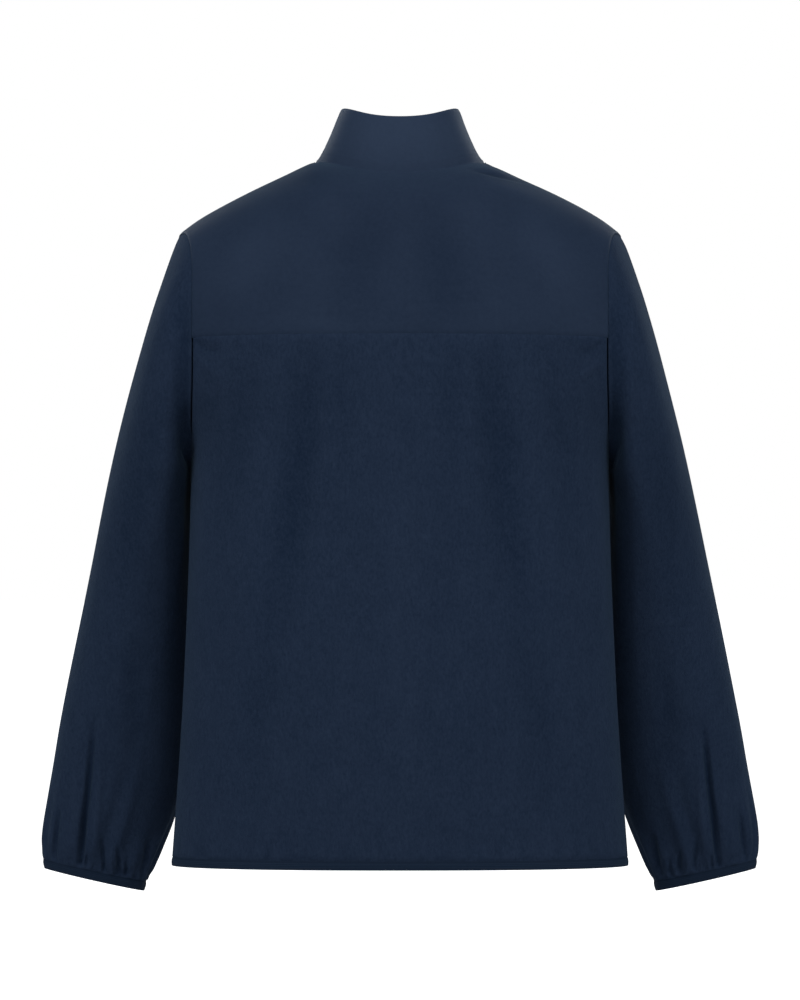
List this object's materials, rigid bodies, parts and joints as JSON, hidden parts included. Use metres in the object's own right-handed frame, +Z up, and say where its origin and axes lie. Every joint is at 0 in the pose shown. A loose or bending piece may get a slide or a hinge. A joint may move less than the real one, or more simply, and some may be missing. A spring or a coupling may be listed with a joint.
{
  "type": "fleece zip jacket",
  "caption": "Long-sleeved micro-fleece jacket with a woven stand collar and yoke, a full front zip and elastic bound hem and cuffs, filled out as worn.",
  "frame": {"origin": "the middle of the neck opening, level with the points where the collar leaves the shoulders", "axes": "+X to the wearer's left, +Y to the back, +Z up"},
  "size_m": [0.7308, 0.264, 0.7888],
  "materials": {
    "fleece": "matte brushed micro-fleece, fine mottled nap",
    "woven": "smooth close weave with a soft sheen",
    "binding": "smooth elastic binding",
    "zip_tape": "close woven tape",
    "zip_teeth": "moulded, satin",
    "zip_metal": "dark satin enamel"
  },
  "bodies": {
    "jacket": {"back_panel": "fleece", "yoke": "woven", "collar": "woven", "front_left": "fleece", "front_right": "fleece", "sleeve_left": "fleece", "sleeve_right": "fleece", "cuff_binding_left": "binding", "cuff_binding_right": "binding", "hem_binding": "binding", "zip_tape_left": "zip_tape", "zip_tape_right": "zip_tape", "zip_chain": "zip_teeth", "zip_box": "zip_metal", "zip_slider": "zip_metal"},
    "pull_tab": {"zip_pull_tab": "zip_metal"}
  },
  "joints": [
    {"name": "pull_tab_hinge", "type": "hinge", "parent": "jacket", "child": "pull_tab", "pos_m": [0, -0.08125, -0.00914], "axis": [-1, 0, 0], "range_deg": [0, 165]}
  ]
}
